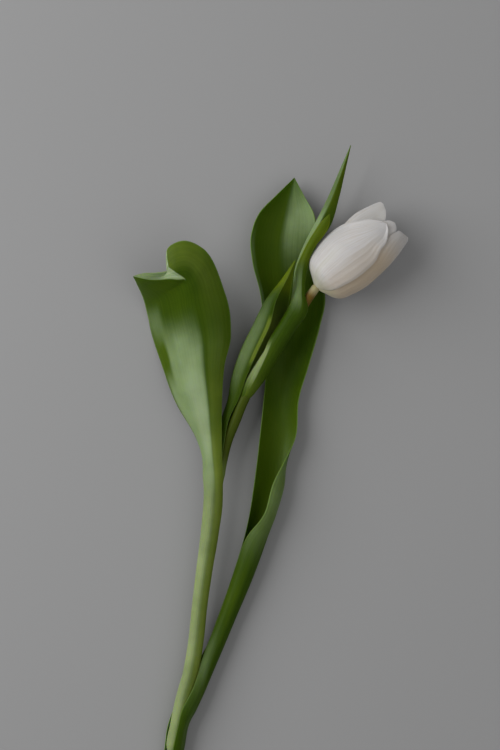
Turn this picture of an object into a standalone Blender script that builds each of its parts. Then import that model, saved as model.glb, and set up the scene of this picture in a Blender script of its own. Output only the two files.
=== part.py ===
"""A cut white tulip lying on a flat surface: its stem, five leaves and half-open flower.

Metres, +Z up. The tulip lies on the plane z = 0 with its stem along +Y and its flower at +Y, and the
origin is at the bottom centre of its box. Lengths below are in millimetres, angles in degrees.
"""
import math

import bmesh
import bpy
import numpy as np
from mathutils import Vector

MM = 0.001
GAP = 0.3                     # clearance between the flower's pieces
SHEATH_ROOM = 0.5             # clearance between the stem and the sheath of a leaf
OUTER_ROOM = 1.85             # the same for a sheath that goes round another sheath
LEAF_THICKNESS = 0.7
PETAL_THICKNESS = 0.62
ROWS_PER_STATION = 2          # mesh rows between two stations of a leaf
HALF_COLUMNS = 4              # mesh columns from a leaf's keel to its margin
PETAL_ROWS, PETAL_COLUMNS = 13, 12

# The stem: the axis from the cut end to the flower, and its radius beside each point.
STEM_AXIS = [
    (-57, -177, 3.27), (-55.2, -168, 4.9), (-53, -154.5, 6.3), (-49, -132.5, 7.8), (-44, -113.5, 8.6),
    (-40.5, -92, 9.2), (-39, -77, 9.6), (-35.5, -53, 10.4), (-32, -28, 11.3), (-30, -14, 11.9),
    (-27.5, -0.5, 12.5), (-23.5, 16, 13.3), (-19, 27, 13.9), (-14.5, 38, 14.5), (-10.2, 46, 14.9),
    (-3, 57.5, 15.6), (4.5, 69, 16.3), (12, 80, 16.9), (18.8, 90.5, 17.4), (22.5, 96, 17.5),
    (25.3, 99.8, 17.5),
]
STEM_RADII = [
    3.3, 3.25, 3.2, 3.2, 3.15, 3.15, 3.15, 3.1, 3.1, 3.1, 3.07, 3.05, 3.0, 2.95, 2.95,
    2.9, 2.85, 2.75, 2.6, 2.5, 2.4,
]
STEM_POINTS = 37
STEM_BEVEL_RESOLUTION = 2     # gives the stem 8 sides
RECEPTACLE = (1.95, 4.5)      # radius and height of the peg that carries the petals

# The flower: a cup turned about an axis that lies flat and points up and to the right.
BUD_BASE = (25.3, 99.8, 17.5)
BUD_HEADING = 40.0
BUD_PROFILE = [               # (height above the base, outer radius)
    (0.3, 2.5), (1.2, 4.6), (2.7, 8), (3.9, 10.5), (6.6, 13.5), (13.2, 15.9), (20.9, 17.4),
    (30.8, 17.3), (39.6, 16.6), (48.4, 15), (53.9, 13.6), (59.5, 11.6),
]
POINTED = [(0, 1), (0.1, 1.02), (0.22, 1), (0.56, 1), (0.69, 0.87), (0.79, 0.63), (0.9, 0.45),
           (0.945, 0.3), (0.975, 0.18), (1, 0.03)]
BLUNT = [(0, 0.7), (0.12, 0.8), (0.24, 1), (0.78, 1), (0.87, 1), (0.93, 0.85), (0.97, 0.62), (1, 0.08)]
LOPPED = [(0, 0.93), (0.1, 0.92), (0.22, 0.97), (0.4, 1), (0.6, 0.95), (0.79, 0.88), (0.9, 0.78),
          (0.94, 0.7), (0.975, 0.57), (1, 0.12)]
SLENDER = [(0, 0.7), (0.12, 0.8), (0.24, 1), (0.68, 0.95), (0.8, 0.75), (0.9, 0.52), (0.95, 0.38),
           (0.98, 0.24), (1, 0.03)]
HIDDEN = [(0, 0.95), (0.22, 1), (0.5, 0.95), (0.65, 0.78), (0.8, 0.55), (0.91, 0.38), (1, 0.03)]
OUTER_DEPTH, INNER_DEPTH = 0.35, 1.6    # how far each whorl's middle lies inside the profile

# name: depth, tuck, flare, azimuth at the base and the tip (0 faces up, 90 to the right), half span,
# height of the tip, outline. A tucked petal's right margin goes in under its neighbour, and its upper
# part bulges out. A flared petal's margins stand off, and a negative flare draws the left one in.
PETALS = {
    "petal_outer_front": (OUTER_DEPTH, 0, 0.85, -28, -7, 62, 50.6, POINTED),
    "petal_outer_right": (OUTER_DEPTH, 0, -0.25, 96, 65, 62.5, 55.9, LOPPED),
    "petal_outer_under": (OUTER_DEPTH, 0, 0, 216, 222, 48, 54, HIDDEN),
    "petal_inner_left": (INNER_DEPTH, 1.4, 0, -62, -68, 56, 57.5, BLUNT),
    "petal_inner_front": (INNER_DEPTH, 0, 0, 30, 4, 50, 55.4, SLENDER),
    "petal_inner_under": (INNER_DEPTH, 0, 0, 165, 165, 50, 53, BLUNT),
}

# The ovary's heights and radii, the stigma's lobes and the stamens.
OVARY = [(0, 3.2), (0.9, 3.2), (1.1, 2.2), (4, 2.9), (12, 2.7), (19, 1.9), (20.5, 2.3)]
STIGMA_LOBES, STIGMA_REACH, STIGMA_RADIUS = 3, 2.2, 1.6
STAMENS, FILAMENT_RADIUS, FILAMENT_LENGTH = 6, 0.7, 11.0
ANTHER_RADIUS, ANTHER_LENGTH, STAMEN_FOOT, STAMEN_HEAD = 1.0, 8.5, 2.5, 6.2

WHITE = (0.62, 0.6, 0.55)
LEAF_GREEN = (0.06, 0.11, 0.02)
STEM_GREEN = (0.16, 0.22, 0.06)
PISTIL_GREEN = (0.35, 0.42, 0.12)


def smooth_curve(stations, values, at):
    """Values at the parameters at, on one smooth cubic through the values at the stations."""
    stations, values = np.asarray(stations, float), np.asarray(values, float)
    steps = np.diff(stations)
    slopes = np.diff(values, axis=0) / steps.reshape(-1, *[1] * (values.ndim - 1))
    before, after = steps[:-1], steps[1:]
    shape = (-1, *[1] * (values.ndim - 1))
    middle = (slopes[:-1] * after.reshape(shape) + slopes[1:] * before.reshape(shape)) / (
        (before + after).reshape(shape))
    tangents = np.concatenate([slopes[:1], middle, slopes[-1:]])
    index = np.clip(np.searchsorted(stations, at, side="right") - 1, 0, len(steps) - 1)
    width = steps[index].reshape(shape)
    s = ((at - stations[index]) / steps[index]).reshape(shape)
    return ((1 + 2 * s) * (1 - s) ** 2 * values[index] + s * (1 - s) ** 2 * width * tangents[index]
            + s * s * (3 - 2 * s) * values[index + 1] - s * s * (1 - s) * width * tangents[index + 1])


def unit(vectors):
    """The vectors, each scaled to length one."""
    return vectors / np.linalg.norm(vectors, axis=-1, keepdims=True)


def stem_at(y):
    """The stem's centre, direction and radius where its axis passes y."""
    axis = np.array(STEM_AXIS, float)
    near = np.array([y - 0.5, y, y + 0.5])
    points = smooth_curve(axis[:, 1], axis, near)
    radius = smooth_curve(axis[:, 1], STEM_RADII, near[1:2])[0]
    return points[1], unit(points[2] - points[0]), radius


def ring(centre, along, radius, left, keel, right):
    """A station of a leaf rolled into a tube. Angles run from +Z (0) over the right side (90)."""
    front = np.array([0, 0, 1.0]) - along[2] * along
    front = front / np.linalg.norm(front)
    side = np.cross(along, front)

    def point(degrees):
        angle = math.radians(degrees)
        return np.asarray(centre, float) + radius * (math.cos(angle) * front + math.sin(angle) * side)
    return point(left), point(keel), point(right), left - keel, right - keel


def clasp(y, room, left, keel, right, aside=0):
    """A station where a leaf's sheath goes round the stem, room clear of it, and set aside to the left."""
    centre, along, radius = stem_at(y)
    centre = centre + aside * unit(np.array([-along[1], along[0], 0]))
    return ring(centre, along, radius + room + LEAF_THICKNESS / 2, left, keel, right)


def tube(centre, heading, radius, left, keel, right):
    """A station where a leaf is rolled up beside the stem. The heading is in plan, from +X."""
    angle = math.radians(heading)
    return ring(centre, np.array([math.cos(angle), math.sin(angle), 0]), radius, left, keel, right)


def blade(left, keel, right, left_bend, right_bend):
    """A station of an open blade: margin, keel, margin, and how far each half bends in degrees."""
    return np.array(left, float), np.array(keel, float), np.array(right, float), left_bend, right_bend


def leaf_left():
    """The largest leaf: its sheath holds the stem, its blade turns its back up and curls at the tip."""
    return [
        clasp(-155.5, SHEATH_ROOM, -160, -5, 150), clasp(-143, SHEATH_ROOM, -158, -5, 148),
        clasp(-130, SHEATH_ROOM, -154, -5, 145), clasp(-113, SHEATH_ROOM, -150, -5, 142),
        clasp(-95, SHEATH_ROOM, -145, -4, 140), clasp(-77, SHEATH_ROOM, -140, -3, 136),
        clasp(-57, SHEATH_ROOM + 0.3, -130, -2, 128, 0.3), clasp(-36, SHEATH_ROOM + 0.8, -118, 0, 115, 0.2),
        clasp(-16, SHEATH_ROOM + 1.2, -104, 0, 100, 1.0),
        blade((-37, -4.5, 11), (-31, -4, 18), (-26, -3, 16.6), -75, 70),
        blade((-37.5, 6.5, 10.5), (-32, 7, 19.5), (-26.5, 8, 19), -60, 50),
        blade((-41, 17, 10), (-33, 17.5, 20.5), (-26.5, 18, 20), -50, 40),
        blade((-51.5, 35, 8), (-34.5, 32.5, 22), (-26.5, 33, 20), -45, 40),
        blade((-60, 57, 5), (-37.5, 55.5, 22.5), (-25, 57, 19), -40, 45),
        blade((-65.7, 73.5, 0.22), (-39.5, 73.5, 22), (-21.5, 74, 18), -35, 50),
        blade((-67.8, 83.5, 2), (-43, 90, 27), (-24.5, 96, 23.5), -35, 50),
        blade((-68.8, 88, 4), (-43.8, 97.6, 30), (-36, 120, 30), -38, 45),
        blade((-69.5, 91.5, 6), (-45.8, 103.2, 31.8), (-47.5, 124.5, 32), -40, 40),
        blade((-70, 94, 9), (-50, 103.2, 32), (-55.5, 120.5, 32), -40, 35),
        blade((-70.5, 96, 12), (-54.5, 103.6, 31.8), (-56.6, 114, 31.5), -38, -30),
        blade((-71.5, 98, 15), (-59.5, 103.3, 31), (-55.6, 109, 29.5), -32, -60),
        blade((-72.5, 100.2, 19), (-65, 103.3, 30), (-61.5, 107.5, 28.5), -27, -60),
        blade((-73.6, 103, 23), (-70, 104.2, 28.5), (-69, 107.2, 27.5), -20, -50),
        blade((-74.8, 105.2, 26), (-74.6, 106, 26.4), (-74.2, 106.8, 26), -10, 10),
    ]


def leaf_back():
    """The lowest leaf: rolled into a tube beside the stem, then an open trough under the flower."""
    return [
        clasp(-166, SHEATH_ROOM, 265, 130, -8), clasp(-154.5, OUTER_ROOM, 262, 130, -6),
        clasp(-144, OUTER_ROOM + 0.1, 262, 125, 0),
        blade((-52.8, -132, 3.8), (-44.6, -135, 2.5), (-48.6, -133.5, 12.5), 85, -172),
        blade((-50, -121.5, 2.4), (-39.6, -126, 2.6), (-43.2, -123, 12.1), 15, -162),
        tube((-33.3, -105, 6.5), 66, 4.8, 240, 125, -52), tube((-24, -83, 6.2), 67, 4.8, 250, 120, -65),
        tube((-14.5, -58.5, 6.6), 70, 5.6, 255, 115, -75), tube((-8, -39, 7.2), 73, 6.1, 262, 120, -50),
        tube((-4, -25.5, 8), 76, 7.1, 270, 140, 4),
        blade((-8.5, -7.5, 9), (1.5, -9.5, 1.6), (2, -7.5, 14), 60, -180),
        blade((-7, 4, 10), (2, 2, 1.8), (8, 4, 13), 55, -130),
        blade((-5.5, 17.5, 11), (4, 15.5, 2), (14, 16.5, 11), 50, -75),
        blade((-3.5, 36.5, 9.5), (6, 36.5, 2.2), (16, 38, 9.5), 40, -45),
        blade((-2, 56.5, 6.5), (8, 55.5, 2), (21.5, 56.5, 8.5), 30, -40),
        blade((-3, 79, 6.5), (8, 76.5, 2.2), (28, 79, 7), 35, -35),
        blade((-5.5, 98, 9), (5.5, 94.5, 2.2), (31, 95.5, 4), 45, -15),
        blade((-9.5, 114, 12), (4, 111.5, 2.5), (26, 114, 3.6), 50, -15),
        blade((-10.5, 128, 13), (4, 126, 3), (25.8, 128, 10.5), 50, -25),
        blade((-6, 141, 12.5), (7, 140.5, 4), (24.5, 140.5, 12.5), 45, -25),
        blade((3.2, 151, 10), (10, 151.5, 5.5), (19, 151, 10.5), 30, -20),
        blade((13.1, 161, 8), (13.6, 161.4, 7.8), (14.2, 161, 8), 10, -10),
    ]


def leaf_middle():
    """A leaf folded along its keel, which turns to the left, with its fold open to the right."""
    return [
        clasp(-3, SHEATH_ROOM, -220, -100, 10), clasp(6, SHEATH_ROOM, -218, -100, -3),
        clasp(14, SHEATH_ROOM + 0.2, -215, -100, -15),
        blade((-20.5, 25, 9.2), (-27, 26.5, 13), (-22.5, 27.5, 16.8), -90, 70),
        blade((-15, 34.5, 8.8), (-23.5, 38, 13.5), (-17, 39, 17), -85, 60),
        blade((-9, 47, 8.1), (-21.5, 50.5, 14), (-12.8, 51, 17.5), -80, 50),
        blade((-1, 59, 8.5), (-17, 64.5, 15), (-7, 64, 18.3), -75, 50),
        blade((7.5, 73.5, 9.5), (-10, 79, 16.5), (0, 79, 21), -75, 50),
        blade((10.3, 90, 13), (-2.5, 93, 18.7), (3.6, 93, 22.5), -70, 45),
        blade((12, 102.5, 18.7), (6.3, 104, 21), (9.8, 105.3, 24), -50, 30),
        blade((14, 113.6, 23.5), (13.5, 114.2, 24), (14, 114.8, 24.5), -10, 10),
    ]


def leaf_tall():
    """The tall narrow leaf behind the flower."""
    return [
        clasp(46, SHEATH_ROOM + 0.1, -215, -140, -14), clasp(56, SHEATH_ROOM + 0.2, -212, -140, -18),
        clasp(67, SHEATH_ROOM + 0.2, -207, -135, -40), clasp(80, SHEATH_ROOM + 0.2, -200, -135, -55),
        blade((15, 92.5, 9.5), (12, 94, 13.3), (15.3, 93, 17.8), -70, 60),
        blade((14.5, 110.5, 10.5), (15.5, 111.5, 16), (19, 110.5, 17), -50, 50),
        blade((20, 126, 13.5), (22.5, 126, 18.3), (26, 124.1, 17.8), -40, 40),
        blade((25.5, 136.5, 17), (28.5, 136.5, 20.3), (33.2, 133.7, 18.5), -30, 30),
        blade((31.5, 148.5, 19.5), (34, 148.5, 22), (38, 149.5, 20), -25, 25),
        blade((38, 163.5, 22), (39.5, 163.5, 23.5), (41, 163, 22.2), -20, 20),
        blade((43.6, 177, 25), (44, 177.3, 25.2), (44.6, 177, 25), -10, 10),
    ]


def leaf_small():
    """The short upper leaf that covers the stem's neck."""
    return [
        clasp(50, SHEATH_ROOM + 1.0, -22, 25, 95, 0.3), clasp(59, SHEATH_ROOM + 1.2, -34, 12, 94, 0.6),
        clasp(69, SHEATH_ROOM + 1.4, -58, 2, 90, 1.0), clasp(79, SHEATH_ROOM + 1.5, -70, -5, 80, 1.2),
        blade((11.5, 91.5, 19.4), (15.5, 89.5, 22), (20.8, 88, 20.4), -50, 50),
        blade((14, 98.5, 19), (16.5, 98, 21.2), (19, 96.5, 20.8), -45, 35),
        blade((14.5, 109.5, 18.8), (17, 110, 21.4), (20.3, 109.5, 20), -40, 35),
        blade((18.5, 120, 20), (21.3, 120.5, 22.4), (23.6, 120.2, 21.3), -35, 30),
        blade((24.5, 130.5, 21.5), (27.5, 131, 23.2), (31, 130.5, 22.4), -30, 25),
        blade((28, 135.5, 22.5), (30.5, 135.5, 23.8), (32.5, 134.5, 23.1), -20, 20),
        blade((31.9, 139.5, 24), (32.5, 139.8, 24.2), (33.1, 139.5, 24), -10, 10),
    ]


LEAVES = {
    "leaf_back": leaf_back, "leaf_left": leaf_left, "leaf_middle": leaf_middle,
    "leaf_tall": leaf_tall, "leaf_small": leaf_small,
}


def leaf_grid(stations, rows_per_station, half_columns):
    """A leaf's middle surface as a grid of points.

    Margin, keel and margin each follow one smooth curve through the stations. Between the keel and a
    margin the row is a circular arc, which turns through the half's bend.
    """
    left, keel, right = (np.array([s[k] for s in stations]) for k in range(3))
    bends = np.array([[s[3], s[4]] for s in stations], float)
    travel = sum(np.linalg.norm(np.diff(line, axis=0), axis=1) for line in (left, keel, right)) / 3
    at_station = np.concatenate([[0], np.cumsum(travel)])
    count = rows_per_station * (len(stations) - 1) + 1
    at = np.interp(np.linspace(0, len(stations) - 1, count), np.arange(len(stations)), at_station)
    left, keel, right, bends = (smooth_curve(at_station, v, at) for v in (left, keel, right, bends))
    along = unit(np.gradient(keel, at, axis=0))
    share = np.linspace(0, 1, half_columns + 1)
    halves = []
    for margin, bend in ((left, bends[:, 0]), (right, bends[:, 1])):
        chord = margin - keel
        length = np.linalg.norm(chord, axis=1)
        chord = chord / length[:, None]
        outward = unit(np.cross(along, chord)) * -np.sign(bend)[:, None]
        turn = np.radians(np.abs(bend))
        radius = length / (2 * np.sin(turn / 2))
        swing = (share[None, :] - 0.5) * turn[:, None]
        forward = length[:, None] / 2 + radius[:, None] * np.sin(swing)
        lift = radius[:, None] * (np.cos(swing) - np.cos(turn / 2)[:, None])
        halves.append(keel[:, None] + chord[:, None] * forward[..., None]
                      + outward[:, None] * lift[..., None])
    return np.concatenate([halves[0][:, :0:-1], halves[1]], axis=1)


def bud_frame():
    """The flower's base, its axis, and the directions of azimuth 0 and 90 about it."""
    heading = math.radians(BUD_HEADING)
    axis = np.array([math.cos(heading), math.sin(heading), 0])
    up = np.array([0, 0, 1.0])
    return np.array(BUD_BASE, float), axis, up, np.cross(axis, up)


def soft_step(x, low, high):
    """0 below low, 1 above high, and a smooth cubic between them."""
    share = np.clip((x - low) / (high - low), 0, 1)
    return share * share * (3 - 2 * share)


def petal_grid(depth, tuck, flare, base_azimuth, tip_azimuth, half_span, height, outline, rows, columns):
    """A petal's middle surface: the bud's profile, turned through the petal's span at each height."""
    profile = np.array(BUD_PROFILE)
    lengths = np.concatenate([[0], np.cumsum(np.linalg.norm(np.diff(profile, axis=0), axis=1))])
    reach = np.interp(height, profile[:, 0], lengths)
    u = np.linspace(0, 1, rows) ** 1.1
    line = smooth_curve(lengths, profile, u * reach)
    slope = unit(np.gradient(line, u * reach, axis=0))
    inward = np.stack([slope[:, 1], -slope[:, 0]], axis=1)
    middle = base_azimuth + (tip_azimuth - base_azimuth) * soft_step(u, 0.45, 1)
    marks, shares = np.array(outline).T
    share = np.interp(u, marks, shares)[:, None]
    v = np.linspace(-1, 1, columns + 1)
    azimuth = np.radians(middle[:, None] + half_span * share * v)
    bulge = 1.85 * soft_step(u, 0.5, 0.8)[:, None] * np.exp(-((share * v + 0.3) / 0.36) ** 2)
    stand_off = soft_step(u, 0.1, 0.4)[:, None] * soft_step(np.abs(v) if flare > 0 else -v, 0.6, 1)
    fade = 1 - soft_step(u, 0.88, 1)[:, None]
    sink = depth + tuck * (fade * soft_step(v, -0.2, 0.55) - bulge) - flare * stand_off
    along = line[:, None, 0] + inward[:, None, 0] * sink
    away = np.maximum(line[:, None, 1] + inward[:, None, 1] * sink, BUD_PROFILE[0][1])
    base, axis, up, side = bud_frame()
    spoke = np.cos(azimuth)[..., None] * up + np.sin(azimuth)[..., None] * side
    return base + along[..., None] * axis + away[..., None] * spoke


def material(name, colour, roughness):
    """A Principled material of one colour."""
    made = bpy.data.materials.new(name)
    made.use_nodes = True
    shader = made.node_tree.nodes["Principled BSDF"]
    shader.inputs["Base Color"].default_value = (*colour, 1)
    shader.inputs["Roughness"].default_value = roughness
    return made


def add_object(name, mesh, parent, finish):
    """Puts a mesh in the scene under the tulip's empty, smooth shaded."""
    made = bpy.data.objects.new(name, mesh)
    bpy.context.scene.collection.objects.link(made)
    made.parent = parent
    mesh.materials.append(finish)
    mesh.shade_smooth()
    return made


def sheet(name, grid, thickness, parent, finish):
    """A thin closed solid on both sides of a grid of points in millimetres.

    The middle surface is split into triangles first, so Solidify gives both faces the same ones.
    """
    rows, columns = grid.shape[:2]
    bm = bmesh.new()
    verts = [bm.verts.new(Vector(point) * MM) for point in grid.reshape(-1, 3)]
    for i in range(rows - 1):
        for j in range(columns - 1):
            a, b = i * columns + j, (i + 1) * columns + j
            if j < columns // 2:
                triangles = (a, a + 1, b), (a + 1, b + 1, b)
            else:
                triangles = (a, a + 1, b + 1), (a, b + 1, b)
            for triangle in triangles:
                bm.faces.new([verts[k] for k in triangle])
    mesh = bpy.data.meshes.new(name)
    bm.to_mesh(mesh)
    bm.free()
    made = add_object(name, mesh, parent, finish)
    wall = made.modifiers.new("wall", "SOLIDIFY")
    wall.thickness = thickness * MM
    wall.offset = 0
    split = made.modifiers.new("split", "TRIANGULATE")
    split.quad_method = "FIXED"
    return made


def make_stem(parent, finish):
    """The stem, with the peg inside the flower that the petals and the pistil stand on."""
    base, axis, _, _ = bud_frame()
    radius, height = RECEPTACLE
    route = np.array(STEM_AXIS, float)
    at = np.linspace(route[0, 1], route[-1, 1], STEM_POINTS)
    points = list(smooth_curve(route[:, 1], route, at)) + [base + axis * 1.2, base + axis * height]
    radii = list(smooth_curve(route[:, 1], STEM_RADII, at)) + [radius, radius]
    curve = bpy.data.curves.new("stem", "CURVE")
    curve.dimensions = "3D"
    curve.bevel_depth = MM
    curve.bevel_resolution = STEM_BEVEL_RESOLUTION
    curve.use_fill_caps = True
    spline = curve.splines.new("POLY")
    spline.points.add(len(points) - 1)
    for spot, point, width in zip(spline.points, points, radii):
        spot.co = (*(point * MM), 1)
        spot.radius = width
    made = bpy.data.objects.new("stem", curve)
    bpy.context.scene.collection.objects.link(made)
    made.parent = parent
    curve.materials.append(finish)
    return made


def turned(bm, profile, sides, to_world):
    """A closed turned solid from (height, radius) points, in the frame to_world maps from."""
    rings = []
    for height, radius in profile:
        turns = [2 * math.pi * k / sides for k in range(sides)]
        ring_points = [Vector((radius * math.cos(t), radius * math.sin(t), height)) for t in turns]
        rings.append([bm.verts.new(to_world(p) * MM) for p in ring_points])
    for lower, upper in zip(rings, rings[1:]):
        for k in range(sides):
            bm.faces.new((lower[k], lower[(k + 1) % sides], upper[(k + 1) % sides], upper[k]))
    bm.faces.new(rings[0][::-1])
    bm.faces.new(rings[-1])


def make_flower_centre(parent, finish):
    """The pistil with its three-lobed stigma and the six stamens, joined into one body."""
    base, axis, up, side = (Vector(v) for v in bud_frame())
    foot = base + axis * (RECEPTACLE[1] + GAP)

    def in_flower(p):
        return foot + axis * p.z + up * p.x + side * p.y

    def solid(name, profile, sides, place):
        bm = bmesh.new()
        turned(bm, profile, sides, place)
        bmesh.ops.recalc_face_normals(bm, faces=bm.faces)
        mesh = bpy.data.meshes.new(name)
        bm.to_mesh(mesh)
        bm.free()
        return bpy.data.objects.new(name, mesh)

    centre = solid("flower_centre", OVARY, 9, in_flower)
    bpy.context.scene.collection.objects.link(centre)
    centre.parent = parent
    centre.data.materials.append(finish)
    parts = bpy.data.collections.new("flower_parts")
    bpy.context.scene.collection.children.link(parts)
    top = OVARY[-1][0]
    lobe = [(-0.9, 0.5), (-0.6, 1.3), (0.3, STIGMA_RADIUS), (1.0, 1.2), (1.4, 0.5)]
    for k in range(STIGMA_LOBES):
        turn = 2 * math.pi * k / STIGMA_LOBES + 0.35
        out = Vector((math.cos(turn), math.sin(turn), 0)) * (STIGMA_REACH * 0.8)
        parts.objects.link(solid(f"lobe_{k}", lobe, 8, lambda p, out=out: in_flower(
            Vector((p.x, p.y, p.z + top - 0.2)) + out)))
    lean = math.atan2(STAMEN_HEAD - STAMEN_FOOT, FILAMENT_LENGTH + ANTHER_LENGTH)
    filament = [(-0.8, FILAMENT_RADIUS * 1.3), (FILAMENT_LENGTH, FILAMENT_RADIUS * 0.6)]
    anther = [(-1.2, 0.35), (-0.6, 0.9), (1.5, ANTHER_RADIUS), (ANTHER_LENGTH - 2.5, ANTHER_RADIUS * 0.9),
              (ANTHER_LENGTH - 1.2, 0.3)]
    for k in range(STAMENS):
        turn = 2 * math.pi * (k + 0.5) / STAMENS
        out = Vector((math.cos(turn), math.sin(turn), 0))
        rise = Vector((0, 0, 1)) * math.cos(lean) + out * math.sin(lean)
        across = Vector((0, 0, 1)).cross(out)
        tangent = across.cross(rise)

        def lean_out(p, out=out, rise=rise, across=across, tangent=tangent):
            return in_flower(out * STAMEN_FOOT + Vector((0, 0, 1.2)) + tangent * p.x + across * p.y
                             + rise * p.z)
        parts.objects.link(solid(f"filament_{k}", filament, 5, lean_out))
        parts.objects.link(solid(f"anther_{k}", [(h + FILAMENT_LENGTH, r) for h, r in anther], 6, lean_out))
    join = centre.modifiers.new("join", "BOOLEAN")
    join.operation = "UNION"
    join.operand_type = "COLLECTION"
    join.collection = parts
    join.solver = "EXACT"
    join.use_self = True
    graph = bpy.context.evaluated_depsgraph_get()
    joined = bpy.data.meshes.new_from_object(centre.evaluated_get(graph))
    centre.modifiers.remove(join)
    centre.data = joined
    joined.name = "flower_centre"
    for piece in list(parts.objects):
        bpy.data.objects.remove(piece)
    bpy.data.collections.remove(parts)
    joined.shade_smooth()
    return centre


def main():
    for old in list(bpy.data.objects):
        bpy.data.objects.remove(old)
    tulip = bpy.data.objects.new("tulip", None)
    bpy.context.scene.collection.objects.link(tulip)
    make_stem(tulip, material("stem_green", STEM_GREEN, 0.5))
    make_flower_centre(tulip, material("pistil_green", PISTIL_GREEN, 0.5))
    for name, stations in LEAVES.items():
        grid = leaf_grid(stations(), ROWS_PER_STATION, HALF_COLUMNS)
        sheet(name, grid, LEAF_THICKNESS, tulip, material(name + "_green", LEAF_GREEN, 0.5))
    for name, shape in PETALS.items():
        grid = petal_grid(*shape, PETAL_ROWS, PETAL_COLUMNS)
        sheet(name, grid, PETAL_THICKNESS, tulip, material(name + "_white", WHITE, 0.55))


main()
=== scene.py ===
# %% [markdown]
# # A cut white tulip
# A tulip lies on a pale table: a round stem, five leaves that hold the stem in their sheaths, and one
# half-open flower. The solids of the frame already say where each piece is. Here each of them gives
# its place to a finer piece of the same form, with thin margins, veins, fused roots and a finish.
# Lengths are in millimetres and angles in degrees until a mesh is made, in metres.

# %% Load the frame
import math

import bpy
import numpy as np
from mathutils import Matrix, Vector


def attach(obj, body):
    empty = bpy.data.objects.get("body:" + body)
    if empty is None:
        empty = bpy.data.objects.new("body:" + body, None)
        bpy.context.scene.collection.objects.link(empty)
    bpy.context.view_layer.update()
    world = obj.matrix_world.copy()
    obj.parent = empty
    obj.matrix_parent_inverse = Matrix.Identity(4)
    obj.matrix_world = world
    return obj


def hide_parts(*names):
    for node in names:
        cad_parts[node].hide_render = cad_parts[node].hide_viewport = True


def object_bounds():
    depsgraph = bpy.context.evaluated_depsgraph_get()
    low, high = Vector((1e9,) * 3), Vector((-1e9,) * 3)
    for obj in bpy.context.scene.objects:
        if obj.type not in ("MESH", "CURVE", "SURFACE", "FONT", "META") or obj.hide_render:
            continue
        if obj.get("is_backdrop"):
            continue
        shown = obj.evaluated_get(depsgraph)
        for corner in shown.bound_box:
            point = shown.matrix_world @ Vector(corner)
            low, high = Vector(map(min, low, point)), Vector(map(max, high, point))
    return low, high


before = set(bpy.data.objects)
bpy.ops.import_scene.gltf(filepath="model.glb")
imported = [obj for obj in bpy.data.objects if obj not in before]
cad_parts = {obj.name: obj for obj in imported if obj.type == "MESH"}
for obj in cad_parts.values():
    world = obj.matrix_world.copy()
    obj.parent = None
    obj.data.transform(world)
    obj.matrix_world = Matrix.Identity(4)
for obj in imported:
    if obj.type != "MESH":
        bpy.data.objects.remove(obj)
cad_box = [list(corner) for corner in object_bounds()]
MM = 0.001
UP = np.array([0, 0, 1.0])
print("solids:", ", ".join(sorted(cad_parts)))
print("box of the solids in mm:", [[round(c / MM, 1) for c in corner] for corner in cad_box])

# %% [markdown]
# ## Smooth lines from a few stations
# A leaf could be sculpted, or cut from a subdivided plane. Stations are easier to correct: a few rows
# say where the margins and the keel are, and one smooth cubic runs through them all. It is worked out
# for all the rows at once, as arrays.


# %% Smooth curves and unit vectors
def smooth_curve(stations, values, at):
    """Values at the parameters at, on one smooth cubic through the values at the stations.

    The slope at a station is the mean of the slopes on both sides, weighted by the other side's
    length. Between two stations the value is the cubic with these slopes at its ends.
    """
    stations, values = np.asarray(stations, float), np.asarray(values, float)
    steps = np.diff(stations)
    shape = (-1, *[1] * (values.ndim - 1))
    slopes = np.diff(values, axis=0) / steps.reshape(shape)
    before, after = steps[:-1].reshape(shape), steps[1:].reshape(shape)
    middle = (slopes[:-1] * after + slopes[1:] * before) / (before + after)
    tangents = np.concatenate([slopes[:1], middle, slopes[-1:]])
    index = np.clip(np.searchsorted(stations, at, side="right") - 1, 0, len(steps) - 1)
    width = steps[index].reshape(shape)
    s = ((at - stations[index]) / steps[index]).reshape(shape)
    return ((1 + 2 * s) * (1 - s) ** 2 * values[index] + s * (1 - s) ** 2 * width * tangents[index]
            + s * s * (3 - 2 * s) * values[index + 1] - s * s * (1 - s) * width * tangents[index + 1])


def unit(vectors):
    """The vectors, each divided by its own length."""
    return vectors / np.linalg.norm(vectors, axis=-1, keepdims=True)


def soft_step(x, low, high):
    """0 below low, 1 above high, and the cubic 3t^2 - 2t^3 between them."""
    t = np.clip((np.asarray(x, float) - low) / (high - low), 0, 1)
    return t * t * (3 - 2 * t)


print("smooth curve, unit vectors and soft step ready")

# %% [markdown]
# ## Meshes from grids
# Every piece here is a grid of points: rows along the piece, columns across it. A leaf or a petal is a
# middle surface with a thickness that fades towards the margin. Solidify would give one thickness
# everywhere, so the two faces are placed by hand, and a rim closes them. A stem is a grid too, which
# closes round itself and ends in two poles. The grid's own coordinates become the UV map, so that veins
# can follow the piece.


# %% Put a grid into a mesh
UV_MAP = "length_and_width"


def add_object(name, data):
    """An object in the scene that holds the data, at the origin, unturned and unscaled."""
    added = bpy.data.objects.new(name, data)
    bpy.context.scene.collection.objects.link(added)
    return added


def new_mesh(name, points, faces, uv):
    """A smooth-shaded piece. Each corner takes its vertex's UV."""
    mesh = bpy.data.meshes.new(name)
    mesh.from_pydata((points * MM).tolist(), [], faces)
    corners = np.empty(len(mesh.loops), np.int32)
    mesh.loops.foreach_get("vertex_index", corners)
    layer = mesh.uv_layers.new(name=UV_MAP)
    layer.data.foreach_set("uv", uv[corners].astype(np.float32).ravel())
    mesh.shade_smooth()
    mesh.validate()
    return add_object(name, mesh)


def quads(a, b, c, d):
    """Faces from four arrays of vertex numbers, one corner each."""
    return np.stack([a.ravel(), b.ravel(), c.ravel(), d.ravel()], axis=1).tolist()


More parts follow.
